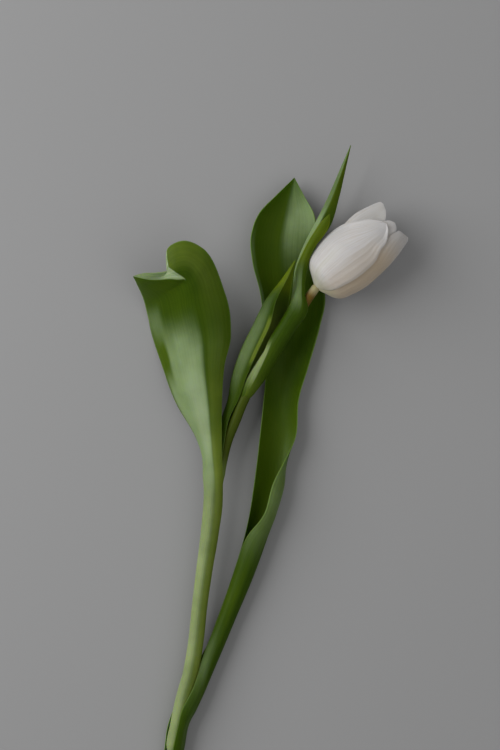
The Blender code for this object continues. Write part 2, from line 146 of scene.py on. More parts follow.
def grid_normals(grid):
    """The cross product of the direction across the grid and the direction along it, at each point."""
    return unit(np.cross(np.gradient(grid, axis=1), np.gradient(grid, axis=0)))


def closed_sheet(name, middle, half_thickness, uv):
    """A sheet closed all round. The faces lie at the middle surface plus and minus its normal times the
    half thickness, and a rim of quads joins their borders."""
    rows, columns = middle.shape[:2]
    offset = grid_normals(middle) * half_thickness[..., None]
    points = np.concatenate([(middle + offset).reshape(-1, 3), (middle - offset).reshape(-1, 3)])
    t = np.arange(rows * columns).reshape(rows, columns)
    b = t + rows * columns
    faces = quads(t[:-1, :-1], t[:-1, 1:], t[1:, 1:], t[1:, :-1])
    faces += quads(b[:-1, :-1], b[1:, :-1], b[1:, 1:], b[:-1, 1:])
    faces += quads(t[:-1, 0], t[1:, 0], b[1:, 0], b[:-1, 0])
    faces += quads(t[:-1, -1], b[:-1, -1], b[1:, -1], t[1:, -1])
    faces += quads(t[0, :-1], b[0, :-1], b[0, 1:], t[0, 1:])
    faces += quads(t[-1, :-1], t[-1, 1:], b[-1, 1:], b[-1, :-1])
    return new_mesh(name, points, faces, np.concatenate([uv.reshape(-1, 2)] * 2))


def closed_tubes(name, tubes):
    """One mesh from tubes, each given by its rings of points and the poles that close its two ends with
    a fan of triangles. U is how far round a point is from the tube's underside, and V is its share of
    the rings."""
    points, faces, uvs, count = [], [], [], 0
    for rings, start, end in tubes:
        rows, sides = rings.shape[:2]
        grid = np.arange(rows * sides).reshape(rows, sides) + count
        nxt = np.roll(grid, -1, axis=1)
        first, last = np.full(sides, count + rows * sides), np.full(sides, count + rows * sides + 1)
        faces += quads(grid[:-1], nxt[:-1], nxt[1:], grid[1:])
        faces += np.stack([first, nxt[0], grid[0]], axis=1).tolist()
        faces += np.stack([last, grid[-1], nxt[-1]], axis=1).tolist()
        turn = np.abs(np.linspace(-1, 1, sides, endpoint=False))
        uv = np.stack(np.meshgrid(turn, np.linspace(0, 1, rows)), axis=-1).reshape(-1, 2)
        points += [rings.reshape(-1, 3), [start, end]]
        uvs += [uv, [[0, 0], [0, 1]]]
        count += rows * sides + 2
    return new_mesh(name, np.concatenate(points), faces, np.concatenate(uvs))


made = {}
print("mesh helpers ready")

# %% [markdown]
# ## The stem
# A tulip's stem is a juicy round shaft, a little thicker at the foot, that bends towards the light. It
# swells into a ring where leaves grow out of it, and the upper two leaves share one. A curve with a
# bevel would be quick, but the rings, the cut and the small ribs are easier as a profile carried along
# a path.

# %% The stem's path
STEM_AXIS = [
    (-57, -177, 3.27), (-55.2, -168, 4.9), (-53, -154.5, 6.3), (-49, -132.5, 7.8), (-44, -113.5, 8.6),
    (-40.5, -92, 9.2), (-39, -77, 9.6), (-35.5, -53, 10.4), (-32, -28, 11.3), (-30, -14, 11.9),
    (-27.5, -0.5, 12.5), (-23.5, 16, 13.3), (-19, 27, 13.9), (-14.5, 38, 14.5), (-10.2, 46, 14.9),
    (-3, 57.5, 15.6), (4.5, 69, 16.3), (12, 80, 16.9), (18.8, 90.5, 17.4), (22.5, 96, 17.5),
    (25.3, 99.8, 17.5),
]
STEM_RADII = [
    3.3, 3.25, 3.2, 3.2, 3.15, 3.15, 3.15, 3.1, 3.1, 3.1, 3.07, 3.05, 3.0, 2.95, 2.95,
    2.9, 2.85, 2.75, 2.6, 2.5, 2.4,
]
NODES = [-166, -155.5, -3, 46]         # where the leaves grow out, as y
NODE_SWELL, NODE_LENGTH = 0.22, 2.2    # how much thicker the stem is there, over what length


def stem_at(y):
    """The stem's centre, direction and radius where its axis passes each y."""
    axis = np.array(STEM_AXIS, float)
    y = np.atleast_1d(np.asarray(y, float))
    point = smooth_curve(axis[:, 1], axis, y)
    ahead = smooth_curve(axis[:, 1], axis, np.minimum(y + 0.5, axis[-1, 1]))
    behind = smooth_curve(axis[:, 1], axis, np.maximum(y - 0.5, axis[0, 1]))
    return point, unit(ahead - behind), smooth_curve(axis[:, 1], STEM_RADII, y)


def cross_frame(along):
    """For each direction, the direction square to it that is nearest to straight up, and the right."""
    front = unit(UP - along[..., 2:3] * along)
    return front, np.cross(along, front)


def swept(centres, along, radii, sides):
    """Rings of points: the centre, plus the radius times the cosine of the turn towards the front and
    its sine towards the right. The radii are one for a ring, or one for each point."""
    front, right = cross_frame(along)
    turn = np.linspace(0, 2 * math.pi, sides, endpoint=False)
    radii = radii if radii.ndim == 2 else radii[:, None]
    return centres[:, None] + radii[..., None] * (
        np.cos(turn)[:, None] * front[:, None] + np.sin(turn)[:, None] * right[:, None])


print("stem path:", len(STEM_AXIS), "stations")

# %% Make the stem
BUD_BASE = np.array([25.3, 99.8, 17.5])
BUD_HEADING = math.radians(40)           # seen from above, from +X
BUD_AXIS = np.array([math.cos(BUD_HEADING), math.sin(BUD_HEADING), 0])
BUD_SIDE = np.cross(BUD_AXIS, UP)
STEM_ROWS, STEM_SIDES = 420, 40
STEM_RIBS, STEM_RIB_HEIGHT = 7, 0.035
RIB_SWAY, RIB_SWAY_LENGTH = 0.4, 30      # how far the ribs wander, in radians, over what length
CUT = np.array([(0.55, 0.25), (0.9, 0.1), (1, 0)])       # rings of the cut: share of the radius, depth
SEAT = np.array([(1.2, 1.95), (3, 1.95), (4.2, 1.6), (4.5, 0.8)])      # in the flower: height, radius
ys = np.linspace(STEM_AXIS[0][1], STEM_AXIS[-1][1], STEM_ROWS)
centres, along, radii = stem_at(ys)
for node in NODES:
    radii = radii + NODE_SWELL * np.exp(-((ys - node) / NODE_LENGTH) ** 2)
turn = np.linspace(0, 2 * math.pi, STEM_SIDES, endpoint=False)
sway = RIB_SWAY * np.sin(ys / RIB_SWAY_LENGTH)
radii = radii[:, None] + STEM_RIB_HEIGHT * np.cos(STEM_RIBS * turn[None, :] + sway[:, None])
centres = np.concatenate([centres[:1] + along[:1] * CUT[:, 1:], centres[1:],
                          BUD_BASE + BUD_AXIS * SEAT[:, :1]])
along = np.concatenate([along[:1]] * len(CUT) + [along[1:]] + [BUD_AXIS[None]] * len(SEAT))
radii = np.concatenate([radii[:1] * CUT[:, :1], radii[1:], np.repeat(SEAT[:, 1:], STEM_SIDES, axis=1)])
rings = swept(centres, along, radii, STEM_SIDES)
made["stem"] = closed_tubes("stem_shaft", [(rings, centres[0], centres[-1] + BUD_AXIS * 0.1)])
print("stem:", len(rings), "rings of", STEM_SIDES)

# %% [markdown]
# ## The leaves
# A tulip's leaf has no stalk. Its foot is a sheath that goes round the stem, and its blade is a long
# oval with parallel veins and a soft keel. A row of it is two arcs that meet at the keel. The left and
# right bends say how far each arc turns, so one table can describe a rolled sheath, an open trough and
# a blade whose tip curls over.


# %% Stations of a leaf
def ring(centre, along, radius, left, keel, right):
    """A row rolled into a tube. Angles run from straight up (0) over the right side (90)."""
    front, side = cross_frame(np.asarray(along, float))

    def point(degrees):
        angle = math.radians(degrees)
        return np.asarray(centre, float) + radius * (math.cos(angle) * front + math.sin(angle) * side)
    return point(left), point(keel), point(right), left - keel, right - keel


def clasp(y, room, left, keel, right, aside=0):
    """A row where the sheath goes round the stem: the tube's radius is the stem's, plus the room, plus
    half the leaf's thickness. Its centre is the stem's, set aside to the left."""
    centre, along, radius = (value[0] for value in stem_at(y))
    centre = centre + aside * unit(np.array([-along[1], along[0], 0]))
    return ring(centre, along, radius + room + LEAF_THICKNESS / 2, left, keel, right)


def tube(centre, heading, radius, left, keel, right):
    """A row where the leaf is rolled up beside the stem. The heading is seen from above, from +X."""
    angle = math.radians(heading)
    return ring(centre, np.array([math.cos(angle), math.sin(angle), 0]), radius, left, keel, right)


def blade(left, keel, right, left_bend, right_bend):
    """A row of the open blade: margin, keel, margin, and how far each half bends."""
    return np.array(left, float), np.array(keel, float), np.array(right, float), left_bend, right_bend


LEAF_THICKNESS = 0.7
FUSED = -0.5                    # the room at a leaf's foot, inside the stem that it grows out of
ROOM, OUTER_ROOM = 0.5, 1.85    # the room round the stem, and round another sheath
print("leaf thickness in mm:", LEAF_THICKNESS)

# %% The largest leaf, on the left
LEAF_LEFT = [
    clasp(-159, FUSED, -160, -5, 150), clasp(-155.5, ROOM, -160, -5, 150),
    clasp(-143, ROOM, -158, -5, 148), clasp(-130, ROOM, -154, -5, 145),
    clasp(-113, ROOM, -150, -5, 142), clasp(-95, ROOM, -145, -4, 140),
    clasp(-77, ROOM, -140, -3, 136), clasp(-57, ROOM + 0.3, -130, -2, 128, 0.3),
    clasp(-36, ROOM + 0.8, -118, 0, 115, 0.2), clasp(-16, ROOM + 1.2, -104, 0, 100, 1.0),
    blade((-37, -4.5, 11), (-31, -4, 18), (-26, -3, 16.6), -75, 70),
    blade((-37.5, 6.5, 10.5), (-32, 7, 19.5), (-26.5, 8, 19), -60, 50),
    blade((-41, 17, 10), (-33, 17.5, 20.5), (-26.5, 18, 20), -50, 40),
    blade((-51.5, 35, 8), (-34.5, 32.5, 22), (-26.5, 33, 20), -45, 40),
    blade((-60, 57, 5), (-37.5, 55.5, 22.5), (-25, 57, 19), -40, 45),
    blade((-65.7, 73.5, 0.3), (-39.5, 73.5, 22), (-21.5, 74, 18), -35, 50),
    blade((-67.8, 83.5, 2), (-43, 90, 27), (-24.5, 96, 23.5), -35, 50),
    blade((-68.8, 88, 4), (-43.8, 97.6, 30), (-36, 120, 30), -38, 45),
    blade((-69.5, 91.5, 6), (-45.8, 103.2, 31.8), (-47.5, 124.5, 32), -40, 40),
    blade((-70, 94, 9), (-50, 103.2, 32), (-55.5, 120.5, 32), -40, 35),
    blade((-70.5, 96, 12), (-54.5, 103.6, 31.8), (-56.6, 114, 31.5), -38, -30),
    blade((-71.5, 98, 15), (-59.5, 103.3, 31), (-55.6, 109, 29.5), -32, -60),
    blade((-72.5, 100.2, 19), (-65, 103.3, 30), (-61.5, 107.5, 28.5), -27, -60),
    blade((-73.6, 103, 23), (-70, 104.2, 28.5), (-69, 107.2, 27.5), -20, -50),
    blade((-74.7, 105.2, 26), (-74.6, 105.5, 26.2), (-74.4, 105.8, 26), -10, 10),
]
print("leaf_left:", len(LEAF_LEFT), "stations")

# %% The lowest leaf, behind the others
LEAF_BACK = [
    clasp(-169, FUSED, 265, 130, -8), clasp(-166, ROOM, 265, 130, -8),
    clasp(-154.5, OUTER_ROOM, 262, 130, -6), clasp(-144, OUTER_ROOM + 0.1, 262, 125, 0),
    blade((-52.8, -132, 3.8), (-44.6, -135, 2.5), (-48.6, -133.5, 12.5), 85, -172),
    blade((-50, -121.5, 2.4), (-39.6, -126, 2.6), (-43.2, -123, 12.1), 15, -162),
    tube((-33.3, -105, 6.5), 66, 4.8, 240, 125, -52), tube((-24, -83, 6.2), 67, 4.8, 250, 120, -65),
    tube((-14.5, -58.5, 6.6), 70, 5.6, 255, 115, -75), tube((-8, -39, 7.2), 73, 6.1, 262, 120, -50),
    tube((-4, -25.5, 8), 76, 7.1, 270, 140, 4),
    blade((-8.5, -7.5, 9), (1.5, -9.5, 1.6), (2, -7.5, 14), 60, -180),
    blade((-7, 4, 10), (2, 2, 1.8), (8, 4, 13), 55, -130),
    blade((-5.5, 17.5, 11), (4, 15.5, 2), (14, 16.5, 11), 50, -75),
    blade((-3.5, 36.5, 9.5), (6, 36.5, 2.2), (16, 38, 9.5), 40, -45),
    blade((-2, 56.5, 6.5), (8, 55.5, 2), (21.5, 56.5, 8.5), 30, -40),
    blade((-3, 79, 6.5), (8, 76.5, 2.2), (28, 79, 7), 35, -35),
    blade((-5.5, 98, 9), (5.5, 94.5, 2.2), (31, 95.5, 4), 45, -15),
    blade((-9.5, 114, 12), (4, 111.5, 2.5), (26, 114, 3.6), 50, -15),
    blade((-10.5, 128, 13), (4, 126, 3), (25.8, 128, 10.5), 50, -25),
    blade((-6, 141, 12.5), (7, 140.5, 4), (24.5, 140.5, 12.5), 45, -25),
    blade((3.2, 151, 10), (10, 151.5, 5.5), (19, 151, 10.5), 30, -20),
    blade((13.4, 161.1, 7.9), (13.6, 161.4, 7.8), (13.9, 161.1, 7.9), 10, -10),
]
print("leaf_back:", len(LEAF_BACK), "stations")

# %% The three leaves of the stem's upper half
LEAF_MIDDLE = [
    clasp(-6, FUSED, -220, -100, 10), clasp(-3, ROOM, -220, -100, 10), clasp(6, ROOM, -218, -100, -3),
    clasp(14, ROOM + 0.2, -215, -100, -15),
    blade((-20.5, 25, 9.2), (-27, 26.5, 13), (-22.5, 27.5, 16.8), -90, 70),
    blade((-15, 34.5, 8.8), (-23.5, 38, 13.5), (-17, 39, 17), -85, 60),
    blade((-9, 47, 8.1), (-21.5, 50.5, 14), (-12.8, 51, 17.5), -80, 50),
    blade((-1, 59, 8.5), (-17, 64.5, 15), (-7, 64, 18.3), -75, 50),
    blade((7.5, 73.5, 9.5), (-10, 79, 16.5), (0, 79, 21), -75, 50),
    blade((10.3, 90, 13), (-2.5, 93, 18.7), (3.6, 93, 22.5), -70, 45),
    blade((12, 102.5, 18.7), (6.3, 104, 21), (9.8, 105.3, 24), -50, 30),
    blade((13.8, 114.2, 23.9), (13.6, 114.4, 24), (13.8, 114.6, 24.1), -10, 10),
]
LEAF_TALL = [
    clasp(39, FUSED, -215, -140, -14), clasp(46, ROOM + 0.1, -215, -140, -14),
    clasp(56, ROOM + 0.2, -212, -140, -18), clasp(67, ROOM + 0.2, -207, -135, -40),
    clasp(80, ROOM + 0.2, -200, -135, -55),
    blade((15, 92.5, 9.5), (12, 94, 13.3), (15.3, 93, 17.8), -70, 60),
    blade((14.5, 110.5, 10.5), (15.5, 111.5, 16), (19, 110.5, 17), -50, 50),
    blade((20, 126, 13.5), (22.5, 126, 18.3), (26, 124.1, 17.8), -40, 40),
    blade((25.5, 136.5, 17), (28.5, 136.5, 20.3), (33.2, 133.7, 18.5), -30, 30),
    blade((31.5, 148.5, 19.5), (34, 148.5, 22), (38, 149.5, 20), -25, 25),
    blade((38, 163.5, 22), (39.5, 163.5, 23.5), (41, 163, 22.2), -20, 20),
    blade((43.9, 177.1, 25), (44, 177.2, 25.1), (44.2, 177.1, 25), -10, 10),
]
LEAF_SMALL = [
    clasp(40, FUSED, -24, 25, 95), clasp(50, ROOM + 1.0, -24, 25, 95, 0.3),
    clasp(59, ROOM + 1.2, -34, 12, 94, 0.6),
    clasp(69, ROOM + 1.4, -58, 2, 90, 1.0), clasp(79, ROOM + 1.5, -70, -5, 80, 1.2),
    blade((11.5, 91.5, 19.4), (15.5, 89.5, 22), (20.8, 88, 20.4), -50, 50),
    blade((14, 98.5, 19), (16.5, 98, 21.2), (19, 96.5, 20.8), -45, 35),
    blade((14.5, 109.5, 18.8), (17, 110, 21.4), (20.3, 109.5, 20), -40, 35),
    blade((18.5, 120, 20), (21.3, 120.5, 22.4), (23.6, 120.2, 21.3), -35, 30),
    blade((24.5, 130.5, 21.5), (27.5, 131, 23.2), (31, 130.5, 22.4), -30, 25),
    blade((28, 135.5, 22.5), (30.5, 135.5, 23.8), (32.5, 134.5, 23.1), -20, 20),
    blade((32.3, 139.7, 24.1), (32.5, 139.8, 24.2), (32.7, 139.7, 24.1), -10, 10),
]
print("upper leaves:", [len(table) for table in (LEAF_MIDDLE, LEAF_TALL, LEAF_SMALL)], "stations")

# %% [markdown]
# ## From stations to a leaf
# Between the stations the rows follow smooth cubics, spaced evenly along the leaf. A real keel is a
# soft fold and not a crease, so the rows are relaxed a little round it. The thickness fades towards the
# margins, the tip, and the foot, where the leaf is one with the stem.


# %% Make a leaf
def leaf_surface(stations, rows, half_columns):
    """The middle surface: margin, keel and margin each follow one smooth cubic, and between the keel
    and a margin the row is a circular arc that turns through that half's bend. Its radius is the chord
    divided by twice the sine of half the bend. Returns the points and each row's share of the leaf."""
    left, keel, right = (np.array([s[k] for s in stations]) for k in range(3))
    bends = np.array([[s[3], s[4]] for s in stations], float)
    travel = sum(np.linalg.norm(np.diff(line, axis=0), axis=1) for line in (left, keel, right)) / 3
    at_station = np.concatenate([[0], np.cumsum(travel)])
    at = np.linspace(0, at_station[-1], rows)
    left, keel, right, bends = (smooth_curve(at_station, v, at) for v in (left, keel, right, bends))
    along = unit(np.gradient(keel, at, axis=0))
    share = np.linspace(0, 1, half_columns + 1)
    halves = []
    for margin, bend in ((left, bends[:, 0]), (right, bends[:, 1])):
        chord = margin - keel
        length = np.linalg.norm(chord, axis=1)
        chord = chord / length[:, None]
        outward = unit(np.cross(along, chord)) * -np.sign(bend)[:, None]
        turn = np.radians(np.abs(bend))
        radius = length / (2 * np.sin(np.maximum(turn, 1e-4) / 2))
        swing = (share[None, :] - 0.5) * turn[:, None]
        forward = length[:, None] / 2 + radius[:, None] * np.sin(swing)
        lift = radius[:, None] * (np.cos(swing) - np.cos(turn / 2)[:, None])
        halves.append(keel[:, None] + chord[:, None] * forward[..., None]
                      + outward[:, None] * lift[..., None])
    return np.concatenate([halves[0][:, :0:-1], halves[1]], axis=1), at / at_station[-1]


def relax_keel(grid, softness, width, times):
    """Rounds the keel: each point near it moves towards the mean of its neighbours in the row, most at
    the keel and not at all beyond the given share of the half. The softness is each row's own."""
    v = np.linspace(-1, 1, grid.shape[1])[1:-1]
    weight = softness[:, None, None] * (np.exp(-(v / width) ** 2) * 0.5)[None, :, None]
    for _ in range(times):
        mean = (grid[:, :-2] + grid[:, 2:]) / 2
        grid[:, 1:-1] += weight * (mean - grid[:, 1:-1])
    return grid


def even_out(grid, share, spread):
    """Averages each point with its neighbours along the leaf, by a bell curve that many rows wide, and
    mixes the mean in by the given share of each point."""
    offsets = np.arange(-3 * spread, 3 * spread + 1)
    weights = np.exp(-(offsets / spread) ** 2)
    rows = np.clip(np.arange(len(grid))[:, None] + offsets[None, :], 0, len(grid) - 1)
    mean = np.einsum("rkcx,k->rcx", grid[rows], weights / weights.sum())
    return grid + share[..., None] * (mean - grid)


KEEL_WIDTH, KEEL_PASSES = 0.18, 10       # the share of a half that is relaxed, and how many times
MARGIN_LOSS, TIP_LOSS = 0.62, 0.5        # the share of the thickness that is lost there
FOOT_SHARE = 0.35                        # the share of the thickness that the foot has
FOOT_END, TIP_START = 0.02, 0.93         # along the leaf, from 0 to 1, as are the next four
FOLD_START, FOLD_LENGTH = 0.888, 0.052   # where the tip's fold starts, and where it fills the half
FOLD_FADE = (0.95, 0.98)
CRAMPED = (0.82, 0.86)
EVEN_ROWS = 14


def make_leaf(name, stations, rows, half_columns, pocket=0.0):
    """Half the thickness is half the leaf's, times 1 minus 0.62 times the fourth power of the distance
    from the keel. It grows from a thin foot over the first two hundredths of the length, and sinks to
    half over the last seven. Where the tip is folded, the keel is sharp, and beside it a pocket dips as
    the square of a sine, over a wedge of the right half that spreads as the square of the distance from
    the fold's start. The left half is evened out there, because its rows are cramped where the leaf
    bends back."""
    grid, u = leaf_surface(stations, rows, half_columns)
    folded = soft_step(u, FOLD_START - 0.01, FOLD_START + 0.02) * (pocket > 0)
    grid = relax_keel(grid, 1 - folded, KEEL_WIDTH, KEEL_PASSES)
    v = np.linspace(-1, 1, grid.shape[1])
    fade = 1 - soft_step(u, *FOLD_FADE)
    near_fold = soft_step(u, *CRAMPED) * fade * (pocket > 0)
    grid = even_out(grid, near_fold[:, None] * soft_step(-v, 0.0, 0.4)[None, :], EVEN_ROWS)
    wedge = np.clip((u - FOLD_START) / FOLD_LENGTH, 0.1, 1)[:, None] ** 2
    depth = pocket * soft_step(u, FOLD_START, FOLD_START + 0.04) * fade
    grid[..., 2] -= depth[:, None] * np.sin(np.pi * np.clip(v[None, :] / wedge, 0, 1)) ** 2
    half = LEAF_THICKNESS / 2 * (1 - MARGIN_LOSS * v[None, :] ** 4)
    half = half * (FOOT_SHARE + (1 - FOOT_SHARE) * soft_step(u, 0, FOOT_END))[:, None]
    half = half * (1 - TIP_LOSS * soft_step(u, TIP_START, 1))[:, None]
    uv = np.stack(np.meshgrid((v + 1) / 2, u), axis=-1)
    made[name] = closed_sheet(name + "_sheet", grid, half, uv)
    print(name, "rows", rows, "columns", grid.shape[1])


make_leaf("leaf_left", LEAF_LEFT, 440, 36, pocket=2.0)
make_leaf("leaf_back", LEAF_BACK, 300, 24)
make_leaf("leaf_middle", LEAF_MIDDLE, 170, 22)
make_leaf("leaf_tall", LEAF_TALL, 180, 16)
make_leaf("leaf_small", LEAF_SMALL, 140, 16)

# %% [markdown]
# ## The petals
# The flower is a cup of three outer and three inner petals, one whorl inside the other, each petal
# tucked under its neighbour. All six are cut from one turned profile: a petal is the part of it between
# two margins, a little inside, with its own tip. So they nest without touching, as in a bud.

# %% The cup's profile and the petals' outlines
BUD_PROFILE = [               # height above the base, outer radius
    (0.3, 2.5), (1.2, 4.6), (2.7, 8), (3.9, 10.5), (6.6, 13.5), (13.2, 15.9), (20.9, 17.4),
    (30.8, 17.3), (39.6, 16.6), (48.4, 15), (53.9, 13.6), (59.5, 11.6),
]
# An outline is the share of the half span that the petal has at each share of its length.
POINTED = [(0, 1), (0.1, 1.02), (0.22, 1), (0.56, 1), (0.69, 0.87), (0.79, 0.63), (0.9, 0.45),
           (0.945, 0.3), (0.975, 0.18), (1, 0.01)]
BLUNT = [(0, 0.7), (0.12, 0.8), (0.24, 1), (0.78, 1), (0.87, 0.98), (0.925, 0.84), (0.965, 0.6),
         (0.985, 0.38), (1, 0.02)]
LOPPED = [(0, 0.93), (0.1, 0.92), (0.22, 0.97), (0.4, 1), (0.6, 0.95), (0.79, 0.88), (0.9, 0.78),
          (0.94, 0.7), (0.975, 0.57), (1, 0.06)]
SLENDER = [(0, 0.7), (0.12, 0.8), (0.24, 1), (0.68, 0.95), (0.8, 0.75), (0.9, 0.52), (0.95, 0.38),
           (0.98, 0.24), (1, 0.01)]
HIDDEN = [(0, 0.95), (0.22, 1), (0.5, 0.95), (0.65, 0.78), (0.8, 0.55), (0.91, 0.38), (1, 0.01)]
OUTER_DEPTH, INNER_DEPTH = 0.35, 1.6
PETAL_THICKNESS = 0.62
PETALS = {                    # depth, tuck, flare, azimuth at base and tip, half span, height, outline
    "petal_outer_front": (OUTER_DEPTH, 0, 0.85, -28, -7, 62, 50.6, POINTED),
    "petal_outer_right": (OUTER_DEPTH, 0, -0.25, 96, 65, 62.5, 55.9, LOPPED),
    "petal_outer_under": (OUTER_DEPTH, 0, 0, 216, 222, 48, 54, HIDDEN),
    "petal_inner_left": (INNER_DEPTH, 1.4, 0, -62, -68, 56, 57.5, BLUNT),
    "petal_inner_front": (INNER_DEPTH, 0, 0, 30, 4, 50, 55.4, SLENDER),
    "petal_inner_under": (INNER_DEPTH, 0, 0, 165, 165, 50, 53, BLUNT),
}
print("petals:", len(PETALS))


# %% Make a petal
PETAL_ROWS, PETAL_COLUMNS = 110, 72
PETAL_RIBS, PETAL_RIB_HEIGHT = 11, 0.045
LEAN_START = 0.45                        # where along the petal its middle starts to lean over
BULGE, BULGE_PLACE, BULGE_WIDTH = 1.85, -0.3, 0.36   # in tucks, and in half spans from the middle
LEAST_OUT = BUD_PROFILE[0][1] - 0.4      # no point is nearer to the flower's axis than this


def petal_surface(depth, tuck, flare, base_azimuth, tip_azimuth, half_span, height, outline):
    """The middle surface: the profile's point at each height, moved inward by the depth, and turned
    about the flower's axis by the azimuth. The azimuth is the middle's, which leans from base to tip by
    a soft step, plus the span times the place across. The tuck moves the right margin further in, and
    makes the upper part bulge. The flare moves both margins out, or, where it is negative, the left one
    in."""
    profile = np.array(BUD_PROFILE)
    lengths = np.concatenate([[0], np.cumsum(np.linalg.norm(np.diff(profile, axis=0), axis=1))])
    reach = np.interp(height, profile[:, 0], lengths)
    u = np.sin(np.linspace(0, 1, PETAL_ROWS) * math.pi / 2) ** 1.25
    line = smooth_curve(lengths, profile, u * reach)
    slope = unit(np.gradient(line, u * reach, axis=0))
    inward = np.stack([slope[:, 1], -slope[:, 0]], axis=1)
    middle = base_azimuth + (tip_azimuth - base_azimuth) * soft_step(u, LEAN_START, 1)
    marks, shares = np.array(outline).T
    share = np.maximum(smooth_curve(marks, shares, u), 0.01)[:, None]
    v = np.sin(np.linspace(-1, 1, PETAL_COLUMNS + 1) * math.pi / 2)
    azimuth = np.radians(middle[:, None] + half_span * share * v)
    across = np.exp(-((share * v - BULGE_PLACE) / BULGE_WIDTH) ** 2)
    bulge = BULGE * soft_step(u, 0.5, 0.8)[:, None] * across
    stand_off = soft_step(u, 0.1, 0.4)[:, None] * soft_step(np.abs(v) if flare > 0 else -v, 0.6, 1)
    fade = 1 - soft_step(u, 0.88, 1)[:, None]
    sink = depth + tuck * (fade * soft_step(v, -0.2, 0.55) - bulge) - flare * stand_off
    height_along = line[:, None, 0] + inward[:, None, 0] * sink
    out = np.maximum(line[:, None, 1] + inward[:, None, 1] * sink, LEAST_OUT)
    spoke = np.cos(azimuth)[..., None] * UP + np.sin(azimuth)[..., None] * BUD_SIDE
    return BUD_BASE + height_along[..., None] * BUD_AXIS + out[..., None] * spoke, u, v


def make_petal(name, shape):
    """The thickness fades from the petal's middle to three tenths of it at the margins, and to four
    tenths at the tip. Fine ribs, a cosine across the petal, ride on the middle surface."""
    grid, u, v = petal_surface(*shape)
    fade = (1 - 0.7 * np.abs(v[None, :]) ** 3) * (1 - 0.6 * soft_step(u, 0.75, 1))[:, None]
    ribbed = soft_step(u, 0.08, 0.3) * (1 - soft_step(u, 0.8, 1))
    rib = PETAL_RIB_HEIGHT * np.cos(PETAL_RIBS * math.pi * v)[None, :] * ribbed[:, None]
    grid = grid + grid_normals(grid) * rib[..., None]
    uv = np.stack(np.meshgrid((v + 1) / 2, u), axis=-1)
    made[name] = closed_sheet(name + "_sheet", grid, PETAL_THICKNESS / 2 * fade, uv)


for name, shape in PETALS.items():
    make_petal(name, shape)
print("petals made, each of", PETAL_ROWS, "rows")

# %% [markdown]
# ## Inside the flower
# In the cup stands the pistil, a green column with three lobes of stigma, and round it six stamens.
# They are the same profiles carried along a line, joined into one mesh for each finish.


# %% Pistil and stamens
FOOT = BUD_BASE + BUD_AXIS * 4.8
LOBES = np.radians([20, 140, 260])               # turns round the flower's axis
STAMENS = np.radians(np.arange(30, 390, 60))
# Profiles: share of the length, radius.
OVARY = [(0, 1.6), (0.04, 2.2), (0.2, 2.9), (0.6, 2.7), (0.92, 1.8), (1, 2.0)]
LOBE = [(0, 0.7), (0.3, 1.2), (0.7, 1.2), (1, 0.3)]
FILAMENT = [(0, 0.9), (0.5, 0.65), (1, 0.35)]
ANTHER = [(0, 0.3), (0.12, 0.9), (0.5, 1.05), (0.85, 0.8), (1, 0.1)]


def in_flower(forward, out, turn):
    """The point that far forward along the flower's axis and that far out at that turn round it."""
    return FOOT + forward * BUD_AXIS + out * (math.cos(turn) * UP + math.sin(turn) * BUD_SIDE)


def column(start, end, profile, sides, lobes=0, lobe_depth=0.0):
    """A turned shape between two points from (share of the length, radius). The radius is multiplied by
    1 plus the lobe depth times the cosine of the turn times the number of lobes."""
    share, radius = np.array(profile, float).T
    fine = np.linspace(0, 1, 26)
    radius = np.maximum(smooth_curve(share, radius, fine), 0.05)
    direction = np.repeat(unit(end - start)[None], len(fine), axis=0)
    turn = np.linspace(0, 2 * math.pi, sides, endpoint=False)
    radii = radius[:, None] * (1 + lobe_depth * np.cos(lobes * turn))[None, :]
    return swept(start + fine[:, None] * (end - start), direction, radii, sides), start, end


inside = {
    "ovary": ("ovary_column", [column(in_flower(0, 0, 0), in_flower(20.5, 0, 0), OVARY, 36, 3, 0.1)]),
    "stigma": ("stigma_lobes",
               [column(in_flower(19.8, 0.2, t), in_flower(21.5, 3.1, t), LOBE, 18) for t in LOBES]),
    "filaments": ("stamen_filaments",
                  [column(in_flower(0.4, 2.4, t), in_flower(12.2, 4.8, t), FILAMENT, 12)
                   for t in STAMENS]),
    "anthers": ("stamen_anthers",
                [column(in_flower(10.8, 4.6, t), in_flower(18.5, 6.2, t), ANTHER, 16, 2, 0.18)
                 for t in STAMENS]),
}
for name, (mesh_name, tubes) in inside.items():
    made[name] = closed_tubes(mesh_name, tubes)
print("inside the flower:", {name: len(tubes) for name, (_, tubes) in inside.items()})

# %% [markdown]
# ## What lies on the table stays on it
# The fine surfaces bulge a hair past the solids. Where a piece rests, its own weight presses it flat,
# so any point below the table is put on it.

# %% Rest on the table
TABLE_TOP = 0.00001              # metres: a hair above 0, so that no face lies in the table's
for piece in made.values():
    flat = np.empty(len(piece.data.vertices) * 3, np.float32)
    piece.data.vertices.foreach_get("co", flat)
    points = flat.reshape(-1, 3)
    sunk = int((points[:, 2] < TABLE_TOP).sum())
    points[:, 2] = np.maximum(points[:, 2], TABLE_TOP)
    piece.data.vertices.foreach_set("co", points.ravel())
    piece.data.update()
    if sunk:
        print(piece.name, "had", sunk, "points below the table")
print("pieces rested:", len(made))

# %% [markdown]
# ## Shader values as expressions
# Noise, veins and soft masks are sums and products. Written node by node they hide what they do, so a
# small class wraps a node's output, and the usual signs add Math nodes.


